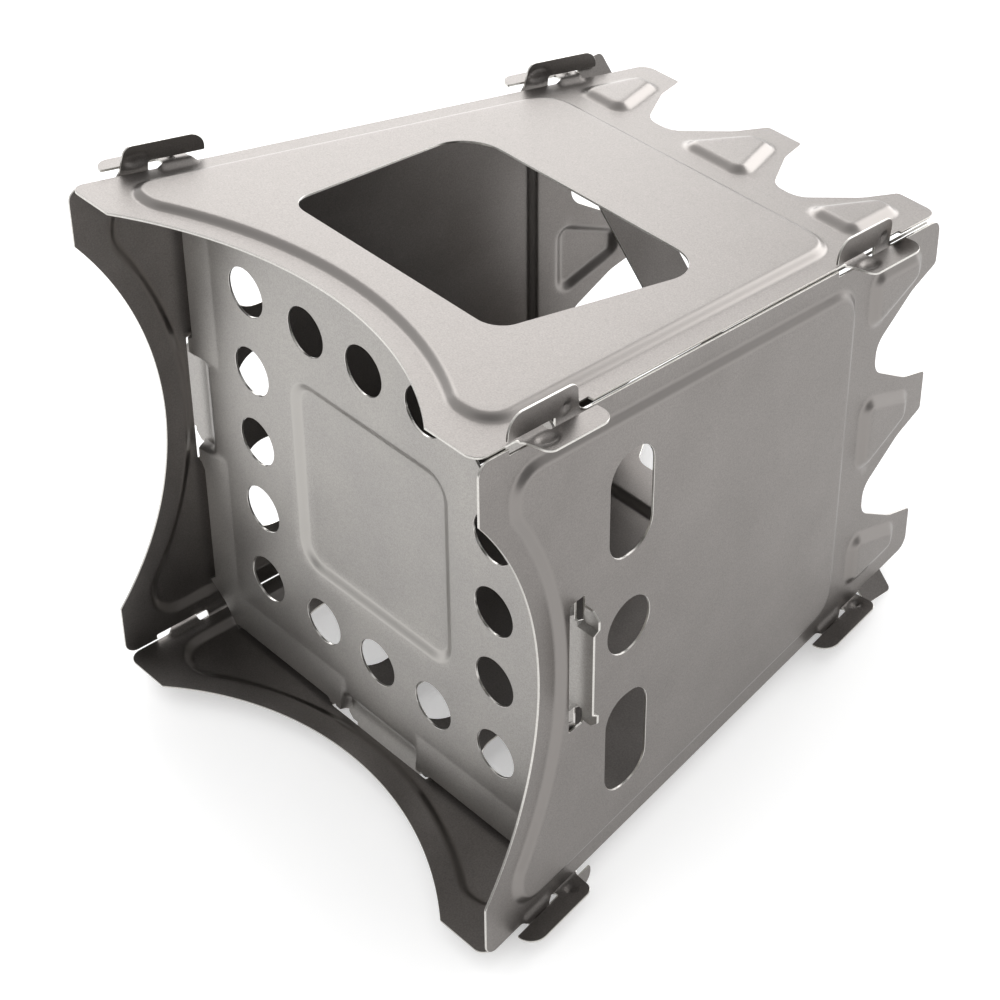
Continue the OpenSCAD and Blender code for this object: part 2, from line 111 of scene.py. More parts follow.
# the fine grid round a hook: from how far inside to how far outside the edge, and how far past both ends;
# round a bump: how far past its outline
HOOK_INSIDE, HOOK_OUTSIDE, HOOK_PAST, BUMP_PAST = 4.5, 7.5, 3, 2.5
# lines of points along the slopes and bends, by their distance from the middle
PANEL_LINES = (-1.4, -1.05, -0.7, -0.35, 0, 0.35, 0.7, 1.05, 1.4)
BUMP_LINES = (-1.6, -1.2, -0.8, -0.4, 0, 0.4, 0.8, 1.2, 1.6)
DISH_LINES = (-1.4, -1.0, -0.6, 0, 0.6, 1.0, 1.4)
BEND_LINES = (-0.6, -0.2, 0.2, 0.6)
SHARP_ANGLE = math.radians(32)

# most of a noise's values lie in this range
NOISE_SPAN = (0.3, 0.7)


def arc(centre, radius, first, last, steps):
    """Points of a circle's arc from angle first to angle last, in degrees."""
    t = np.radians(np.linspace(first, last, steps + 1))
    return np.column_stack([centre[0] + radius * np.cos(t), centre[1] + radius * np.sin(t)])


def circle(centre, diameter, steps):
    """Closed loop of a round hole."""
    return arc(centre, diameter / 2, 0, 360, steps)[:-1]


def rounded(corners, steps=8):
    """Closed loop through corners (x, y, radius). Each corner is replaced by the arc of its radius that
    touches both of its sides; the centre lies on the corner's bisector, at the radius over the sine of half
    the corner."""
    c = np.asarray(corners, float)
    parts = []
    for q, p, s in zip(np.roll(c, 1, 0), c, np.roll(c, -1, 0)):
        if p[2] == 0:
            parts.append(p[None, :2])
            continue
        u = (q - p)[:2] / np.linalg.norm((q - p)[:2])
        v = (s - p)[:2] / np.linalg.norm((s - p)[:2])
        half = math.acos(np.clip(u @ v, -1, 1)) / 2
        bisector = (u + v) / np.linalg.norm(u + v)
        centre = p[:2] + bisector * p[2] / math.sin(half)
        middle = math.degrees(math.atan2(-bisector[1], -bisector[0]))
        turn = math.copysign(90 - math.degrees(half), -(u[0] * v[1] - u[1] * v[0]))
        parts.append(arc(centre, p[2], middle - turn, middle + turn, steps))
    return np.concatenate(parts)


def mirrored(corners):
    """The same corners (x, y, radius) on the other side of x = 0, in the order that goes on round a loop."""
    return [(-x, y, r) for x, y, r in reversed(corners)]


def resampled(loop, step=LOOP_STEP):
    """The same closed loop with every side cut into equal parts no longer than step."""
    ends = np.roll(loop, -1, 0)
    count = np.maximum(1, np.ceil(np.linalg.norm(ends - loop, axis=1) / step)).astype(int)
    side = np.repeat(np.arange(len(loop)), count)
    share = (np.arange(len(side)) - np.repeat(np.cumsum(count) - count, count)) / count[side]
    return loop[side] + (ends - loop)[side] * share[:, None]


def inside(points, loops):
    """Even-odd rule: a point is inside where a ray towards +x crosses the loops an odd number of times."""
    odd = np.zeros(len(points), bool)
    x, y = points[:, 0:1], points[:, 1:2]
    for loop in loops:
        a, b = loop, np.roll(loop, -1, 0)
        spans = (a[:, 1] > y) != (b[:, 1] > y)
        rise = np.where(b[:, 1] == a[:, 1], 1.0, b[:, 1] - a[:, 1])
        cross = a[:, 0] + (y - a[:, 1]) * (b[:, 0] - a[:, 0]) / rise
        odd ^= (np.sum(spans & (x < cross), axis=1) % 2).astype(bool)
    return odd


def batches(points, size):
    """Indices of the points in batches of about that size, which keeps a table of distances small."""
    return np.array_split(np.arange(len(points)), max(1, len(points) // size))


def distance(points, loop):
    """Signed distance to a closed loop, negative inside: the least distance to any of its sides."""
    a, b = loop, np.roll(loop, -1, 0)
    d = b - a
    length2 = np.maximum((d**2).sum(1), 1e-12)
    least = np.full(len(points), np.inf)
    for part in batches(points, 2000):
        p = points[part, None, :] - a[None]
        t = np.clip((p * d).sum(2) / length2, 0, 1)
        least[part] = np.sqrt(((p - t[..., None] * d) ** 2).sum(2).min(1))
    return np.where(inside(points, [loop]), -least, least)


def smooth(x):
    """Zero below 0, one above 1, and a smooth cubic between."""
    x = np.clip(x, 0, 1)
    return x * x * (3 - 2 * x)


def slope(d, width, soft=SOFT_BEND):
    """Height share of a pressing at signed distance d from the middle of its slope: a straight ramp of that
    width whose two bends are parabolas, soft wide on each side."""

    def ramp(x):
        return np.where(x < -soft, 0, np.where(x > soft, x, (x + soft) ** 2 / (4 * soft)))

    return 1 - (ramp(d + width / 2) - ramp(d - width / 2)) / width


def steepness(d, width):
    """One on the slope of a pressing, where the sheet is stretched, fading to zero over 0.5 mm beside it."""
    return 1 - smooth((np.abs(d) - width / 2) / 0.5)


def edge(y):
    """Half the wall's width at height y up its slope."""
    return BASE_W / 2 - y * math.sin(LEAN)


HALF_ARCH = BASE_W / 2 - FOOT_W
ARCH_R = (HALF_ARCH**2 + ARCH_H**2) / (2 * ARCH_H)
ARCH_Y = ARCH_H - ARCH_R


def arch(radius, low):
    """Foot arch from left to right: the part of a circle above height low."""
    half = math.degrees(math.acos((low - ARCH_Y) / radius))
    return [(x, y, 0) for x, y in arc((0, ARCH_Y), radius, 90 + half, 90 - half, 60)]


def notch(x):
    """Corners of the notch at x, from its right tip down to its floor and up to its left tip."""
    waist_y = WALL_H - NOTCH_H + NOTCH_WAIST_H
    right = [
        (NOTCH_W / 2, WALL_H, TIP_R),
        (NOTCH_WAIST_W / 2, waist_y, NOTCH_WAIST_R),
        (NOTCH_FLOOR_W / 2, WALL_H - NOTCH_H, NOTCH_FLOOR_R),
    ]
    return [(x + a, b, r) for a, b, r in right] + [(x - a, b, r) for a, b, r in reversed(right)]


def hook_corners(outward, gap, low, flipped, upper):
    """Corners of one hook on the left edge, going up, as (x, y, radius). In the hook's own frame x runs from
    the corner line into the sheet and y from the hook's free end to its neck; flipped hooks have the neck
    below. Above the upper hooks' necks the edge stands back, where the pot bars' ears pass."""
    slit = 2 * SHEET_T + 2 * gap if outward else SHEET_T + 2 * gap
    if outward and flipped and upper:
        slit = 2 * SHEET_T + gap + EAR_ROOM
    relief = 2 * SHEET_T + 2 * gap
    free_l = HOOK_L - NECK_L
    if not outward:
        beside = EAR_ROOM if flipped and upper else gap
        path = [(beside, -gap, 0), (relief, -gap, SMALL_R), (relief, free_l, SLIT_R)]
    elif flipped and upper:
        path = [(EAR_ROOM, HOOK_STAGGER, 0), (gap, HOOK_STAGGER, 0), (gap, free_l, SLIT_R)]
    else:
        path = [(gap, free_l, SLIT_R)]
    path += [
        # two radii stay small enough for the slit and for the strip that is left beside it
        (-slit, free_l, min(SLIT_R, slit * 0.6)),
        (-slit, 0, SMALL_R),
        (-HOOK_W, 0, min(HOOK_END_R, HOOK_W - slit - HINGE_GAP - SMALL_R)),
        (-HOOK_W, HOOK_L, HOOK_NECK_R),
        (EAR_ROOM, HOOK_L, 0) if upper and not flipped else (gap, HOOK_L + HOOK_FLARE, HOOK_FLARE_R),
    ]
    if flipped:
        path = [(x, HOOK_L - y, r) for x, y, r in reversed(path)]
    c, s = math.cos(EDGE_LEAN), math.sin(EDGE_LEAN)
    return [(-edge(low) + x * c + y * s, low - x * s + y * c, r) for x, y, r in path]


def wall_outline(left_out, right_out, left_gap, right_gap):
    """Outline of a wall's blank with its hooks, anticlockwise from the right foot."""
    right, left = [], []
    for upper, low in enumerate(HOOK_LOWS):
        hook = hook_corners(right_out, right_gap, low + HOOK_STAGGER, True, upper)
        right += [(-x, y, r) for x, y, r in hook]
        left += hook_corners(left_out, left_gap, low, False, upper)
    corners = [(edge(0) - right_gap, 0, FOOT_R)] + right + [(edge(WALL_H) - EAR_ROOM, WALL_H, TOOTH_R)]
    corners += notch(NOTCH_PITCH / 2) + notch(-NOTCH_PITCH / 2)
    corners += [(-edge(WALL_H) + EAR_ROOM, WALL_H, TOOTH_R)] + left[::-1]
    corners.append((-edge(0) + left_gap, 0, FOOT_R))
    return rounded(corners + arch(ARCH_R, 0))


def panel_outline(grow):
    """Loop round the pressed panel, grown by that much: straight sides beside the wall's edges, an arch
    below, and corners eased over 4 mm by averaging each point with its five neighbours on either side."""
    low, high = PANEL_LOW - grow, PANEL_HIGH + grow
    side = [
        (edge(low) - PANEL_INSET + grow, low, PANEL_LOW_R + grow),
        (edge(high) - PANEL_INSET + grow, high, PANEL_HIGH_R + grow),
    ]
    loop = resampled(rounded(side + mirrored(side) + arch(ARCH_R + PANEL_INSET - grow, low)), 0.4)
    return np.mean([np.roll(loop, k, axis=0) for k in range(-5, 6)], axis=0)


def bump_outlines(grow):
    """Loops round the three pressed bumps of the teeth, grown by that much."""
    low, high, r = BUMP_LOW - grow, BUMP_LOW + BUMP_H + grow, BUMP_R + grow
    half = [(BUMP_W / 2 + grow, low, r), (BUMP_TOP_W / 2 + grow, high, r)]
    side = [
        (edge(low) - BUMP_INSET + grow, low, r),
        (edge(high) - BUMP_INSET + grow, high, r),
        (edge(high) - BUMP_INSET - SIDE_BUMP_TOP_W - grow, high, r),
        (edge(low) - BUMP_INSET - SIDE_BUMP_W - grow, low, r),
    ]
    return [rounded(half + mirrored(half)), rounded(side), rounded(mirrored(side))]


def box_loop(x, y, width, height, r):
    """Rectangle with rounded corners, centred on x, y."""
    w, h = width / 2, height / 2
    return rounded([(x + w, y - h, r), (x + w, y + h, r), (x - w, y + h, r), (x - w, y - h, r)])


def window_loop():
    """The fuel window, a trapezium that is wider at its top."""
    right = [
        (WINDOW_LOW_W / 2, WINDOW_LOW, WINDOW_LOW_R),
        (WINDOW_HIGH_W / 2, WINDOW_LOW + WINDOW_H, WINDOW_HIGH_R),
    ]
    return rounded(right + mirrored(right), 12)


def vent_loops():
    """A round vent between two long ones, and the slot of the grate's tongue."""
    loops = [box_loop(k * VENT_PITCH, VENT_Y, VENT_L, VENT_H, VENT_R) for k in (-1, 1)]
    loops.append(circle((0, VENT_Y), VENT_H, 48))
    loops.append(box_loop(0, SLOT_LOW + SLOT_H / 2, SLOT_L, SLOT_H, SLOT_R))
    return loops


def hook_height(points, outward, gap, flipped, on_right):
    """Height added by the hooks of one edge. Past the corner line the sheet lies in the hook's plane; beside
    the neck it falls back to the wall over a smooth step, a tight one above the upper necks, where the pot
    bars' ears rest. A dimple is pressed into the hook next to the neck."""
    plane = SHEET_T + gap if outward else -SHEET_T - gap
    out, half_w, half_l = OVAL_DIMPLE if flipped else ROUND_DIMPLE
    total = np.zeros(len(points))
    u = -points[:, 0] if on_right else points[:, 0]
    c, s = math.cos(EDGE_LEAN), math.sin(EDGE_LEAN)
    for upper, low in enumerate(HOOK_LOWS):
        low = low + (HOOK_STAGGER if flipped else 0)
        du, dv = u + edge(low), points[:, 1] - low
        x, y = du * c - dv * s, du * s + dv * c
        if flipped:
            y = HOOK_L - y
        before = smooth((y - (HOOK_L - NECK_L) + JOG_SOFT) / JOG_SOFT)
        if upper and not flipped:
            after = smooth((HOOK_L + JOG_TIGHT - y) / (2 * JOG_TIGHT))
        else:
            after = smooth((HOOK_L + HOOK_FLARE + JOG_SOFT - y) / JOG_SOFT)
        # points past the corner line, with room for rounding and for the flare behind the neck
        on_hook = (x < 0.02) & (y > -1) & (y < HOOK_L + 3)
        reach = np.where(on_hook, 1, before * after * smooth((JOG_W - x) / JOG_W))
        # the dimple's floor ends at 0.6 of its half widths, and its wall at 1.6 of them
        r = np.hypot((x + out) / half_w, (y - (HOOK_L - NECK_L / 2)) / half_l)
        total += plane * reach + np.sign(plane) * DIMPLE_DEPTH * smooth(1.6 - r) * on_hook
    return total


def plane_grid(x0, y0, x1, y1, step):
    """Points of a square grid over a box, as rows of x and y."""
    return np.stack(np.meshgrid(np.arange(x0, x1, step), np.arange(y0, y1, step)), -1).reshape(-1, 2)


def triangulated(loops, contours, fine_boxes):
    """Points and anticlockwise triangles of the plan inside the loops. The points lie on the loops, on the
    contours, and between them on a grid that is finer in fine_boxes."""
    lines = loops + [resampled(contour) for contour in contours]
    fixed = np.concatenate(lines)
    grids = [plane_grid(*loops[0].min(0), *loops[0].max(0), GRID_STEP)]
    grids += [plane_grid(*box) for box in fine_boxes]
    fill = np.concatenate(grids)
    coarse = np.arange(len(fill)) < len(grids[0])
    clear = np.ones(len(fill), bool)
    for part in batches(fill, 500):
        clear[part] = ((fill[part, None] - fixed[None]) ** 2).sum(2).min(1) > LINE_ROOM**2
    for x0, y0, x1, y1, _ in fine_boxes:
        within = (fill[:, 0] > x0) & (fill[:, 0] < x1) & (fill[:, 1] > y0) & (fill[:, 1] < y1)
        clear &= ~(coarse & within)
    points = np.concatenate([fixed, fill[clear]])
    ends = np.cumsum([0] + [len(line) for line in lines])
    runs = [np.arange(a, b) for a, b in zip(ends[:-1], ends[1:])]
    edges = np.concatenate([np.column_stack([run, np.roll(run, -1)]) for run in runs])
    made = delaunay_2d_cdt([Vector(p) for p in points], edges.tolist(), [], 0, 1e-5, False)
    plan = np.array([tuple(p) for p in made[0]])
    tris = np.array([f for f in made[2] if len(f) == 3])
    tris = tris[inside(plan[tris].mean(1), loops)]
    used, tris = np.unique(tris, return_inverse=True)
    tris, plan = tris.reshape(-1, 3), plan[used]
    a, b, c = (plan[tris[:, k]] for k in range(3))
    clockwise = (b - a)[:, 0] * (c - a)[:, 1] - (b - a)[:, 1] * (c - a)[:, 0] < 0
    tris[clockwise] = tris[clockwise][:, ::-1]
    return plan, tris


def rim_of(tris):
    """Edges with one triangle are the sheet's edge, and run with the sheet on their left."""
    sides = np.concatenate([tris[:, [0, 1]], tris[:, [1, 2]], tris[:, [2, 0]]])
    _, first, count = np.unique(np.sort(sides, 1), axis=0, return_index=True, return_counts=True)
    return sides[first[count == 1]]


def sheet_mesh(name, loops, contours, fine_boxes, pressing, place, metal):
    """One pressed sheet of that metal, cut along the loops. pressing gives the lower face's height over the
    plan and how much the sheet is stretched there, and place turns (x, y, height) into the stove's frame.
    The upper face lies the sheet's thickness above the lower one, and both are broken at the edge by
    EDGE_BREAK."""
    plan, tris = triangulated([resampled(loop) for loop in loops], contours, fine_boxes)
    rim = rim_of(tris)
    out = plan[rim[:, 1]] - plan[rim[:, 0]]
    out = np.column_stack([out[:, 1], -out[:, 0]]) / np.linalg.norm(out, axis=1)[:, None]
    push = np.zeros_like(plan)
    np.add.at(push, rim[:, 0], out)
    np.add.at(push, rim[:, 1], out)
    push /= np.maximum(np.linalg.norm(push, axis=1), 1e-9)[:, None]
    face = plan - push * EDGE_BREAK

    # four sets of points: lower face, upper face, and the lower and upper line of the sheared edge
    base, share = pressing(plan)
    on_rim = np.unique(rim)
    n, m = len(plan), len(on_rim)
    low_face = np.column_stack([face, base])
    high_face = np.column_stack([face, base + SHEET_T])
    low_edge = np.column_stack([plan, base + EDGE_BREAK])[on_rim]
    high_edge = np.column_stack([plan, base + SHEET_T - EDGE_BREAK])[on_rim]
    vertices = place(np.concatenate([low_face, high_face, low_edge, high_edge]))

    where = np.full(n, -1)
    where[on_rim] = np.arange(m)
    r0, r1 = rim[:, 0], rim[:, 1]
    e0, e1 = 2 * n + where[r0], 2 * n + where[r1]
    quads = np.concatenate([
        np.column_stack([r0, r1, e1, e0]),
        np.column_stack([e0, e1, e1 + m, e0 + m]),
        np.column_stack([e0 + m, e1 + m, n + r1, n + r0]),
    ])
    faces = tris[:, ::-1].tolist() + (tris + n).tolist() + quads.tolist()
    mesh = bpy.data.meshes.new(name)
    mesh.from_pydata((vertices * MM).tolist(), [], faces)
    mesh.materials.append(metal)
    mesh.materials.append(sheared)
    slots = np.concatenate([np.zeros(2 * len(tris), int), np.ones(len(quads), int)])
    mesh.polygons.foreach_set("material_index", slots.astype(np.int32))
    mesh.polygons.foreach_set("use_smooth", np.ones(len(faces), bool))
    stretch = np.concatenate([share, share, share[on_rim], share[on_rim]]).astype(np.float32)
    mesh.attributes.new("stretch", "FLOAT", "POINT").data.foreach_set("value", stretch)
    mesh.update()
    mesh.set_sharp_from_angle(angle=SHARP_ANGLE)
    obj = bpy.data.objects.new(name, mesh)
    bpy.context.scene.collection.objects.link(obj)
    return obj


def srgb(code):
    """Linear colour of an sRGB hex value."""
    c = np.array([int(code[k:k + 2], 16) / 255 for k in (1, 3, 5)])
    linear = np.where(c <= 0.04045, c / 12.92, ((c + 0.055) / 1.055) ** 2.4)
    return (*[float(x) for x in linear], 1.0)


def add(tree, kind, settings=None, links=None):
    """Adds a node, sets its settings and sockets, and links its inputs. A settings key names a property or,
    with a leading @, an input socket by name or number."""
    node = tree.nodes.new(kind)
    for key, value in (settings or {}).items():
        if key[0] == "@":
            name = key[1:]
            node.inputs[int(name) if name.isdigit() else name].default_value = value
        else:
            setattr(node, key, value)
    for key, source in (links or {}).items():
        tree.links.new(node.inputs[int(key) if key.isdigit() else key], source)
    return node


def greater(tree, a, b):
    """The greater of two values."""
    return add(tree, "ShaderNodeMath", {"operation": "MAXIMUM"}, {"0": a, "1": b}).outputs[0]


def ranged(tree, value, old, new):
    """Maps the range old of a value onto the range new, and holds the ends beyond it."""
    span = {"@From Min": old[0], "@From Max": old[1], "@To Min": new[0], "@To Max": new[1]}
    return add(tree, "ShaderNodeMapRange", span, {"Value": value}).outputs[0]


def noise(tree, place, size, detail, roughness=0.5):
    """Noise with spots of about that size in millimetres."""
    settings = {"@Scale": 1 / (size * MM), "@Detail": detail, "@Roughness": roughness}
    return add(tree, "ShaderNodeTexNoise", settings, {"Vector": place}).outputs["Fac"]


def white_rays(tree):
    """1 for camera, glossy and transmission rays, and 0 for the rays that light diffuse surfaces."""
    ray = add(tree, "ShaderNodeLightPath").outputs
    indirect = greater(tree, ray["Is Glossy Ray"], ray["Is Transmission Ray"])
    return greater(tree, ray["Is Camera Ray"], indirect)


def new_material(name):
    """An empty material and its node tree."""
    material = bpy.data.materials.new(name)
    material.use_nodes = True
    material.node_tree.nodes.clear()
    return material, material.node_tree


def blasted_titanium(name, dull, clean, painted_sheen_tone):
    """Bead-blasted titanium sheet. Blasting leaves an even, fine grit that spreads highlights into a satin
    glow; the pressed slopes are drawn over the die, which rubs them smoother, and their lighter tone is a
    painted sheen."""
    material, tree = new_material(name)
    place = add(tree, "ShaderNodeTexCoord").outputs["Object"]
    drawn = add(tree, "ShaderNodeAttribute", {"attribute_name": "stretch"}).outputs["Fac"]
    # blasting grit is about 0.1 mm, drawn at 0.3 mm so that it shows
    grit = noise(tree, place, 0.3, 2.0, 0.6)
    # handling marks and uneven blasting, about 16 mm across
    cloud = noise(tree, place, 16, 3.0)
    tone = ranged(tree, cloud, NOISE_SPAN, (0.0, 1.0))
    base = add(tree, "ShaderNodeMix", {"data_type": "RGBA", "@6": srgb(dull), "@7": srgb(clean)}, {
        "0": tone})
    speck = ranged(tree, grit, NOISE_SPAN, (0.86, 1.12))
    grained = add(tree, "ShaderNodeMix", {"data_type": "RGBA", "blend_type": "MULTIPLY", "@0": 1.0}, {
        "6": base.outputs[2], "7": speck})
    # painted sheen: where the sheet is stretched on the pressed slopes, the colour is mixed towards a
    # lighter tone that stands in for the highlights the slopes catch
    bright = add(tree, "ShaderNodeMix", {"data_type": "RGBA", "@7": srgb(painted_sheen_tone)}, {
        "0": drawn, "6": grained.outputs[2]})
    rough = ranged(tree, cloud, NOISE_SPAN, (0.37, 0.42))
    rubbed = add(tree, "ShaderNodeMix", {"data_type": "FLOAT", "@3": 0.34}, {"0": drawn, "2": rough})
    bump = add(tree, "ShaderNodeBump", {"@Strength": 0.35, "@Distance": 0.03 * MM}, {"Height": grit})
    shader = add(tree, "ShaderNodeBsdfPrincipled", {"@Metallic": 1.0}, {
        "Base Color": bright.outputs[2], "Roughness": rubbed.outputs[0], "Normal": bump.outputs[0]})
    add(tree, "ShaderNodeOutputMaterial", {}, {"Surface": shader.outputs[0]})
    return material


def sheared_titanium_and_highlight():
    """Sheared titanium edge: punched after blasting, so it is bare metal that is smoother than the faces.
    Its much lighter tone is partly that bare metal and partly a painted highlight along the sheet's edges."""
    material, tree = new_material("sheared titanium edge, partly painted highlight")
    place = add(tree, "ShaderNodeTexCoord").outputs["Object"]
    # shear lines of the punch, about 0.4 mm apart
    lines = noise(tree, place, 0.4, 1.0)
    # partly bare metal, partly painted highlight: both tones are far lighter than the faces, so that the
    # edges show as bright lines
    tone = add(tree, "ShaderNodeMix", {"data_type": "RGBA", "@6": srgb("#b9b6b0"), "@7": srgb("#dcdad6")}, {
        "0": lines})
    bump = add(tree, "ShaderNodeBump", {"@Strength": 0.2, "@Distance": 0.02 * MM}, {"Height": lines})
    shader = add(tree, "ShaderNodeBsdfPrincipled", {"@Metallic": 1.0, "@Roughness": 0.28}, {
        "Base Color": tone.outputs[2], "Normal": bump.outputs[0]})
    add(tree, "ShaderNodeOutputMaterial", {}, {"Surface": shader.outputs[0]})
    return material


# the last colour of each titanium is its painted sheen on the pressed slopes
wall_titanium = blasted_titanium("bead-blasted titanium", "#797572", "#827e7b", "#878380")
# the fire grate is the same titanium as the walls; its lighter tones are painted light, standing in for the
# grate being better lit than the walls
grate_titanium_painted_lighter = blasted_titanium("bead-blasted titanium, fire grate, painted lighter", "#9b9895", "#a5a29e", "#aaa7a3")
sheared = sheared_titanium_and_highlight()


def stand(quarter):
    """Leans a wall in and turns it to its side: x stays along the ground, y runs up the slope, z out."""
    c, s = math.cos(LEAN), math.sin(LEAN)
    t = math.radians(90 * quarter)

    def place(p):
        x, y, z = p.T
        depth = -(BASE_W / 2 - y * s) - z * c
        across = x * math.cos(t) - depth * math.sin(t)
        ahead = x * math.sin(t) + depth * math.cos(t)
        return np.column_stack([across, ahead, y * c + z * s])

    return place


def wall(name, quarter, left_out, right_out, left_gap, right_gap, has_window):
    """One wall: pressed panel, three pressed bumps, openings, and four hooks with their jogs and dimples."""
    outline = wall_outline(left_out, right_out, left_gap, right_gap)
    holes = [window_loop()] if has_window else vent_loops()
    panel, bumps = resampled(panel_outline(0)), [resampled(b) for b in bump_outlines(0)]
    contours = [panel_outline(g) for g in PANEL_LINES]
    contours += [b for g in BUMP_LINES for b in bump_outlines(g)]
    fine = []
    for low in HOOK_LOWS:
        for sign, shift in ((-1, 0), (1, HOOK_STAGGER)):
            x = edge(low + HOOK_L / 2)
            x0, x1 = sorted((sign * (x - HOOK_INSIDE), sign * (x + HOOK_OUTSIDE)))
            fine.append((x0, low + shift - HOOK_PAST, x1, low + shift + HOOK_L + HOOK_PAST, HOOK_STEP))
    for loop in bump_outlines(BUMP_PAST):
        fine.append((*loop.min(0), *loop.max(0), BUMP_STEP))

    def pressing(p):
        d, b = distance(p, panel), np.min([distance(p, q) for q in bumps], axis=0)
        h = PANEL_RISE * slope(d, PANEL_SLOPE, PANEL_BEND) + BUMP_RISE * slope(b, BUMP_SLOPE)
        left = hook_height(p, left_out, left_gap, False, False)
        right = hook_height(p, right_out, right_gap, True, True)
        return h + (left + right), np.maximum(steepness(d, PANEL_SLOPE), steepness(b, BUMP_SLOPE))

    return sheet_mesh(name, [outline] + holes, contours, fine, pressing, stand(quarter), wall_titanium)


def turned(x, y, quarter):
    """A point of the grate turned by that many right angles about its middle."""
    c, s = ((1, 0), (0, 1), (-1, 0), (0, -1))[quarter]
    return x * c - y * s, x * s + y * c


def grate_outline():
    """Outline of the grate: a square with cut corners, and a tongue with two ears on three of its sides."""
    side = [
        (GRATE_HALF, -(GRATE_HALF - RIM_CUT), RIM_R),
        (GRATE_HALF, -TONGUE_W / 2, RIM_R),
        (EAR_START, -TONGUE_W / 2, EAR_ROOT_R),
        (EAR_START, -EAR_SPAN / 2, SMALL_R),
        (TONGUE_END - EAR_CUT, -EAR_SPAN / 2, EAR_R),
        (TONGUE_END, -EAR_SPAN / 2 + EAR_CUT, EAR_R),
    ]
    side += [(x, -y, r) for x, y, r in reversed(side)]
    corners = []
    for quarter in range(4):
        # the side towards the front wall has no tongue
        part = side if quarter != 3 else [side[0], side[-1]]
        corners += [(*turned(x, y, quarter), r) for x, y, r in part]
    return rounded(corners, 4)


def grate():
    """The fire grate: a ring of air holes round a raised middle panel, a rim that slopes down to the walls,
    and level lanes that curl up into the tongues."""
    holes = []
    for quarter in range(4):
        for y in (-HOLE_PITCH, 0, HOLE_PITCH, HOLE_ROW):
            holes.append(circle(turned(HOLE_ROW, y, quarter), HOLE_D, 40))
    dish = resampled(box_loop(0, 0, DISH_W, DISH_W, DISH_R))
    contours = [box_loop(0, 0, DISH_W + 2 * g, DISH_W + 2 * g, DISH_R + g) for g in DISH_LINES]
    contours += [box_loop(0, 0, 2 * (GRATE_BEND + g), 2 * (GRATE_BEND + g), BEND_R + g) for g in BEND_LINES]
    # from inside the bend to beyond the ears on three sides, and beyond the rim on the fourth
    near, far, rim_far, half = 44, 61, 57, 15.5
    fine = [
        (near, -half, far, half, TONGUE_STEP),
        (-far, -half, -near, half, TONGUE_STEP),
        (-half, near, half, far, TONGUE_STEP),
        (-half, -rim_far, half, -near, RIM_STEP),
    ]

    def pressing(p):
        a, b = np.abs(p[:, 0]), np.abs(p[:, 1])
        out, along = np.maximum(a, b), np.minimum(a, b)
        tongued = ~((b > a) & (p[:, 1] < 0))
        beyond = out > GRATE_HALF
        lane = 1 - smooth((along - LANE_W / 2 + LANE_SOFT) / LANE_SOFT)
        rim = RIM_DROP * np.maximum(out - GRATE_BEND, 0) / (GRATE_HALF - GRATE_BEND) * (1 - lane) * ~beyond
        curl = TONGUE_RISE * smooth((out - CURL_START) / CURL_W) * tongued
        across = smooth((along - TONGUE_W / 2 - EAR_STEP_ACROSS[0]) / EAR_STEP_ACROSS[1])
        ear = EAR_RISE * across * smooth((out - EAR_STEP_ALONG[0]) / EAR_STEP_ALONG[1]) * tongued
        level = np.where(beyond & tongued, TONGUE_RISE + ear, curl * lane + ear)
        d = distance(p, dish)
        return GRATE_Z - rim + level + DISH_RISE * slope(d, DISH_SLOPE), steepness(d, DISH_SLOPE)

    loops = [grate_outline()] + holes
    return sheet_mesh("fire_grate_sheet", loops, contours, fine, pressing, lambda p: p, grate_titanium_painted_lighter)


def flat(points):
    """Neither height nor stretch: a sheet that isn't pressed."""
    return np.zeros(len(points)), np.zeros(len(points))


def pot_bar(name, angle, lap_below):
    """A pot bar across two corners: a straight strip with a riser and an ear at each end, and a slot that
    takes half of its height where the other bar hangs in it."""
    end = [
        (BAR_END, BAR_LOW, SMALL_R), (BAR_END, SEAT_Z, 0), (BAR_EAR_END, SEAT_Z, BAR_EAR_R),
        (BAR_EAR_END, BAR_EAR_TOP, BAR_EAR_R), (BAR_END - RISER_W, BAR_EAR_TOP, BAR_EAR_R),
        (BAR_END - RISER_W, BAR_TOP, RISER_R),
    ]
    if lap_below:
        half = [(LAP_W / 2, BAR_LOW + LAP_H, 0), (LAP_W / 2, BAR_LOW, 0)] + end
    else:
        half = end + [(LAP_W / 2, BAR_TOP, 0), (LAP_W / 2, BAR_TOP - LAP_H, 0)]
    c, s = math.cos(math.radians(angle)), math.sin(math.radians(angle))

    def stand_on_edge(p):
        along, up, across = p.T
        across = across - SHEET_T / 2
        return np.column_stack([along * c + across * s, along * s - across * c, up])

    return sheet_mesh(name, [rounded(half + mirrored(half))], [], [], flat, stand_on_edge, wall_titanium)


# piece, body, CAD node, quarter turn, left and right hooks jogged outwards, gaps at the left and right
# corner, and whether it has the fuel window
WALLS = (
    ("front_wall_sheet", "front", "wall_front", 0, True, False, LOOSE_GAP, HINGE_GAP, True),
    ("right_wall_sheet", "right", "wall_right", 1, False, True, HINGE_GAP, HINGE_GAP, False),
    ("back_wall_sheet", "back", "wall_back", 2, True, False, HINGE_GAP, HINGE_GAP, False),
    ("left_wall_sheet", "left", "wall_left", 3, False, True, HINGE_GAP, LOOSE_GAP, False),
)
for name, body, node, quarter, *shape in WALLS:
    piece = wall(name, quarter, *shape)
    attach(piece, body)
    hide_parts(node)

piece = grate()
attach(piece, "grate")
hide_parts("grate")

for name, node, angle, lap_below in (
        ("over_bar_strip", "pot_bar_over", 45, True), ("under_bar_strip", "pot_bar_under", -45, False)):
    piece = pot_bar(name, angle, lap_below)
    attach(piece, "pot_bars")
    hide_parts(node)


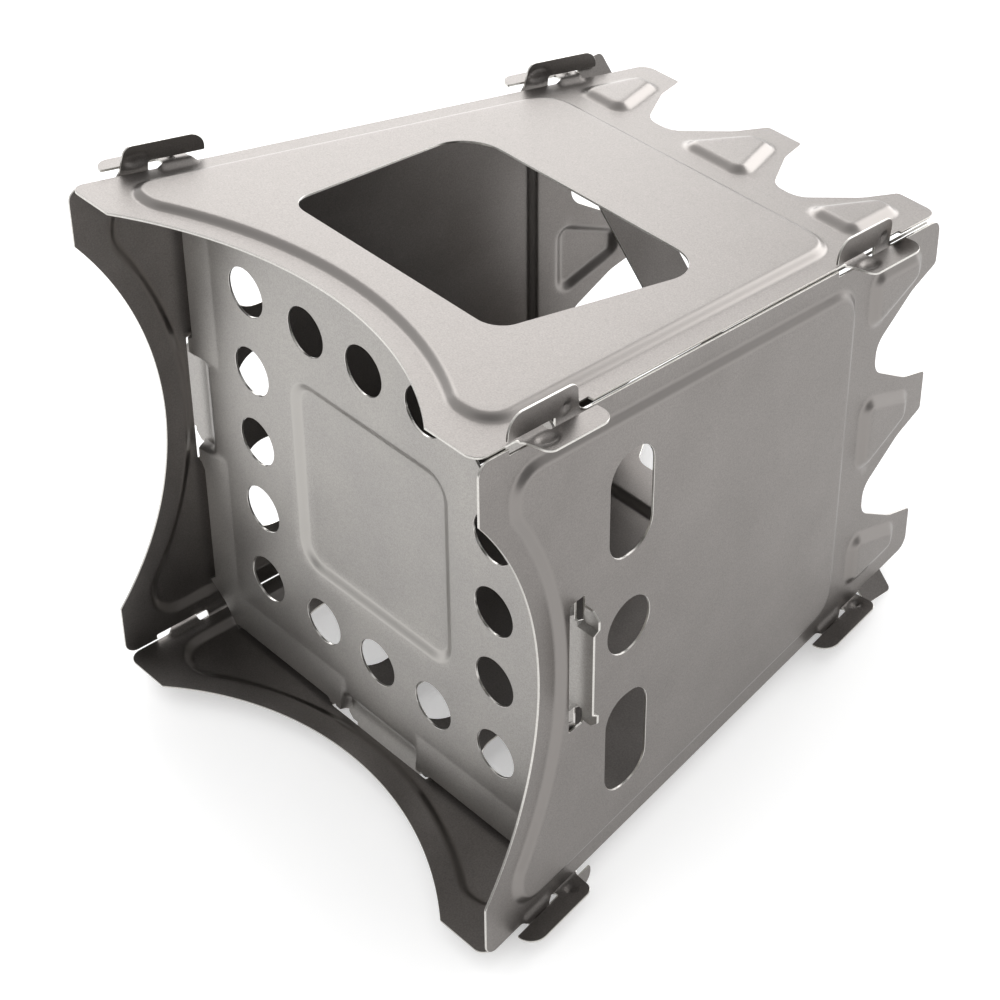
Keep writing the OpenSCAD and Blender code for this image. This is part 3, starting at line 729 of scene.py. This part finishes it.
# the stove lies on its back wall, on the hooks that stand out past it
FLOOR_GAP = 5.6
FLOOR_HALF = 3.0
floor_normal = Vector((0, -math.cos(LEAN), -math.sin(LEAN)))
floor_side = Vector((1, 0, 0))
floor_ahead = floor_normal.cross(floor_side)
floor_point = Vector((0, BASE_W / 2, 0)) * MM - floor_normal * FLOOR_GAP * MM
floor_corners = [
    floor_point + floor_side * x * FLOOR_HALF + floor_ahead * y * FLOOR_HALF
    for x, y in ((-1, -1), (1, -1), (1, 1), (-1, 1))]
floor_mesh = bpy.data.meshes.new("floor")
floor_mesh.from_pydata(floor_corners, [], [(0, 1, 2, 3)])
floor = bpy.data.objects.new("floor", floor_mesh)
bpy.context.scene.collection.objects.link(floor)

white_floor, tree = new_material("white paper floor")
# the paper shows from its upper side only, so that views from behind look past it
behind = add(tree, "ShaderNodeNewGeometry").outputs["Backfacing"]
paper = add(tree, "ShaderNodeBsdfDiffuse", {"@Color": srgb("#f0f0f0")})
# the eye and the metal see the paper near white, with the stove's shadow kept
glow = add(tree, "ShaderNodeEmission", {"@Color": srgb("#ffffff"), "@Strength": 0.34})
dark = add(tree, "ShaderNodeEmission", {"@Color": srgb("#000000"), "@Strength": 0.0})
lift = add(tree, "ShaderNodeMixShader", {}, {
    "0": white_rays(tree), "1": dark.outputs[0], "2": glow.outputs[0]})
lifted = add(tree, "ShaderNodeAddShader", {}, {"0": paper.outputs[0], "1": lift.outputs[0]})
clear = add(tree, "ShaderNodeBsdfTransparent")
sided = add(tree, "ShaderNodeMixShader", {}, {"0": behind, "1": lifted.outputs[0], "2": clear.outputs[0]})
add(tree, "ShaderNodeOutputMaterial", {}, {"Surface": sided.outputs[0]})
floor_mesh.materials.append(white_floor)


# camera: solved from the photo's corner lines, foot flats and grate holes
CAMERA_AT = Vector((0.307945, -0.306166, -0.214888))
CAMERA_RIGHT = Vector((0.664711, 0.008322, 0.747054))
CAMERA_DOWN = Vector((0.453529, 0.790118, -0.412341))
CAMERA_AHEAD = Vector((-0.593693, 0.612898, 0.521426))
FOCAL_SHARE = 2.596863
CENTRE_X, CENTRE_Y = 0.500385, 0.500758
lens = bpy.data.cameras.new("camera")
lens.sensor_width = 36.0
lens.lens = lens.sensor_width * FOCAL_SHARE
lens.shift_x = 0.5 - CENTRE_X
lens.shift_y = CENTRE_Y - 0.5
lens.clip_start, lens.clip_end = 0.01, 20
camera = bpy.data.objects.new("camera", lens)
bpy.context.scene.collection.objects.link(camera)
turn = Matrix((CAMERA_RIGHT, -CAMERA_DOWN, -CAMERA_AHEAD)).transposed()
camera.matrix_world = Matrix.Translation(CAMERA_AT) @ turn.to_4x4()
bpy.context.scene.camera = camera


def softbox(name, at, aim, size, power):
    """A square white studio softbox at a place, in metres, turned to its aim."""
    light = bpy.data.lights.new(name, "AREA")
    light.shape = "SQUARE"
    light.size = size
    light.energy = power
    lamp = bpy.data.objects.new(name, light)
    lamp.location = at
    lamp.rotation_euler = (Vector(aim) - Vector(at)).to_track_quat("-Z", "Y").to_euler()
    bpy.context.scene.collection.objects.link(lamp)


MIDDLE = (0, 0, 0.06)
softbox("main softbox", (-0.95, -0.50, 0.72), MIDDLE, 0.9, 7.2)
softbox("rear softbox", (-0.05, -0.40, 1.20), MIDDLE, 0.8, 6.8)

world = bpy.data.worlds.new("studio")
bpy.context.scene.world = world
world.use_nodes = True
tree = world.node_tree
tree.nodes.clear()
# a white studio for the eye; in the metal's reflections it is white behind and above the stove and darkens,
# level with the floor, towards the photographer, which draws the dark lines on the pressed slopes and keeps
# the insides dark
DARK_SIDE = (0.803, 0.074, -0.592)
direction = add(tree, "ShaderNodeTexCoord").outputs["Generated"]
towards = add(tree, "ShaderNodeVectorMath", {"operation": "DOT_PRODUCT", "@1": DARK_SIDE}, {"0": direction})
room = ranged(tree, towards.outputs["Value"], (-0.35, 0.25), (1.0, 0.3))
eye = add(tree, "ShaderNodeLightPath").outputs["Is Camera Ray"]
seen = add(tree, "ShaderNodeBackground", {"@Color": srgb("#ffffff")}, {"Strength": greater(tree, room, eye)})
lit = add(tree, "ShaderNodeBackground", {"@Color": srgb("#ffffff"), "@Strength": 1.0})
both = add(tree, "ShaderNodeMixShader", {}, {
    "0": white_rays(tree), "1": lit.outputs[0], "2": seen.outputs[0]})
add(tree, "ShaderNodeOutputWorld", {}, {"Surface": both.outputs[0]})

bpy.context.scene.view_settings.view_transform = "Standard"
